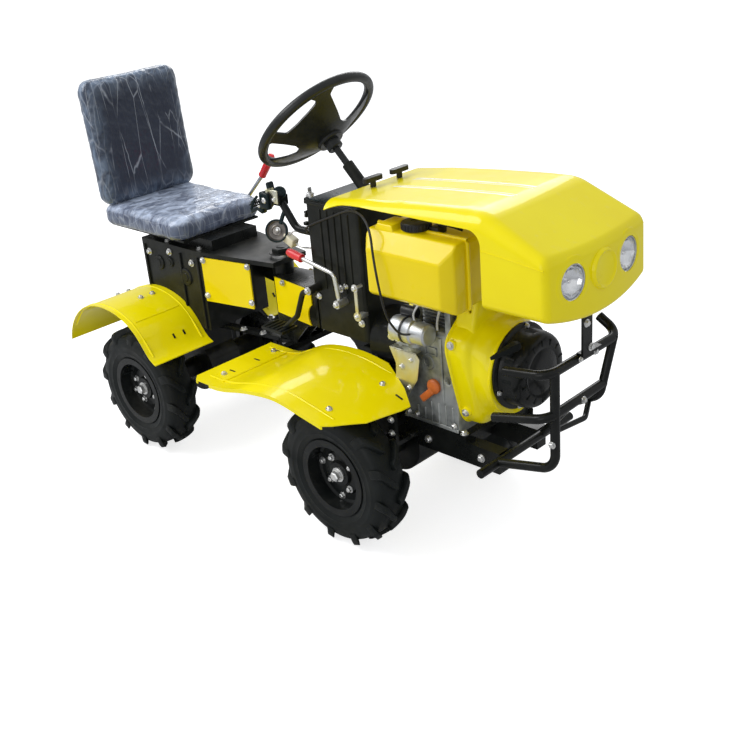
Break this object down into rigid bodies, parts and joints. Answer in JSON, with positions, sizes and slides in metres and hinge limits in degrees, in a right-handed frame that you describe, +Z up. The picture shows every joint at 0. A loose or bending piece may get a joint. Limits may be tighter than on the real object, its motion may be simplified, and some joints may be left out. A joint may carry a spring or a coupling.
{
  "type": "ride-on tiller",
  "caption": "Articulated four-wheel ride-on tiller tractor with front engine under a yellow hood, seat over the rear axle, steering wheel, footrest fenders and bumper.",
  "frame": {"origin": "on the ground, under the middle of the overall length and width", "axes": "+X forward, +Y to the driver's left, +Z up"},
  "size_m": [1.8368, 0.784, 1.2069],
  "materials": {
    "yellow_paint": "glossy lemon-yellow sheet-metal paint with light handling dust",
    "black_paint": "semi-gloss black chassis paint",
    "tyre_rubber": "new black rubber, satin side walls",
    "cast_alloy": "as-cast grey aluminium",
    "black_plastic": "grained black moulded plastic",
    "lamp_glass": "clear ribbed lamp lens",
    "zinc_steel": "zinc-plated rod",
    "red_grip": "soft red dipped grip",
    "seat_vinyl": "dark navy woven-backed seat cloth under clear film"
  },
  "bodies": {
    "front_chassis": {"front_frame": "black_paint", "pivot_neck": "black_paint", "neck_plates": "yellow_paint", "transmission_case": "black_paint", "front_axle": "black_paint", "engine_crankcase": "cast_alloy", "engine_cylinder": "cast_alloy", "blower_housing": "yellow_paint", "recoil_starter": "black_paint", "fuel_tank": "yellow_paint", "fuel_cap": "black_plastic", "muffler": "black_paint", "air_cleaner": "black_plastic", "hood": "yellow_paint", "hood_knobs": "black_plastic", "headlights": "lamp_glass", "console": "black_paint", "front_fenders": "yellow_paint", "bumper": "black_paint", "control_arm": "black_paint", "throttle_cable": "black_plastic", "pedal": "black_paint", "right_lever": "zinc_steel", "right_lever_grip": "red_grip"},
    "rear_chassis": {"rear_beam": "black_paint", "beam_plates": "yellow_paint", "lower_yoke": "black_paint", "pivot_pin": "zinc_steel", "rear_gearcase": "black_paint", "rear_fenders": "yellow_paint", "seat_frame": "black_paint", "seat_cushion": "seat_vinyl", "seat_back": "seat_vinyl", "left_lever": "zinc_steel", "left_lever_grip": "red_grip", "rear_hitch": "black_paint"},
    "steering_wheel": {"steering_wheel": "black_plastic"},
    "wheel_front_right": {"tyre_front_right": "tyre_rubber", "rim_front_right": "black_paint"},
    "wheel_front_left": {"tyre_front_left": "tyre_rubber", "rim_front_left": "black_paint"},
    "wheel_rear_right": {"tyre_rear_right": "tyre_rubber", "rim_rear_right": "black_paint"},
    "wheel_rear_left": {"tyre_rear_left": "tyre_rubber", "rim_rear_left": "black_paint"}
  },
  "joints": [
    {"name": "articulation", "type": "hinge", "parent": "front_chassis", "child": "rear_chassis", "pos_m": [-0.20644, 0, 0.52], "axis": [0, 0, 1], "range_deg": [-30, 30]},
    {"name": "steering", "type": "hinge", "parent": "front_chassis", "child": "steering_wheel", "pos_m": [0.00256, 0, 1.073], "axis": [-0.7071, 0, 0.7071], "range_deg": [-301, 301]},
    {"name": "spin_front_right", "type": "hinge", "parent": "front_chassis", "child": "wheel_front_right", "pos_m": [0.27256, -0.27, 0.205], "axis": [0, 1, 0], "continuous": true},
    {"name": "spin_front_left", "type": "hinge", "parent": "front_chassis", "child": "wheel_front_left", "pos_m": [0.27256, 0.27, 0.205], "axis": [0, 1, 0], "continuous": true},
    {"name": "spin_rear_right", "type": "hinge", "parent": "rear_chassis", "child": "wheel_rear_right", "pos_m": [-0.64244, -0.254, 0.205], "axis": [0, 1, 0], "continuous": true},
    {"name": "spin_rear_left", "type": "hinge", "parent": "rear_chassis", "child": "wheel_rear_left", "pos_m": [-0.64244, 0.254, 0.205], "axis": [0, 1, 0], "continuous": true}
  ],
  "couplings": [
    {"joint": "steering", "follows": "articulation", "ratio": -10}
  ]
}
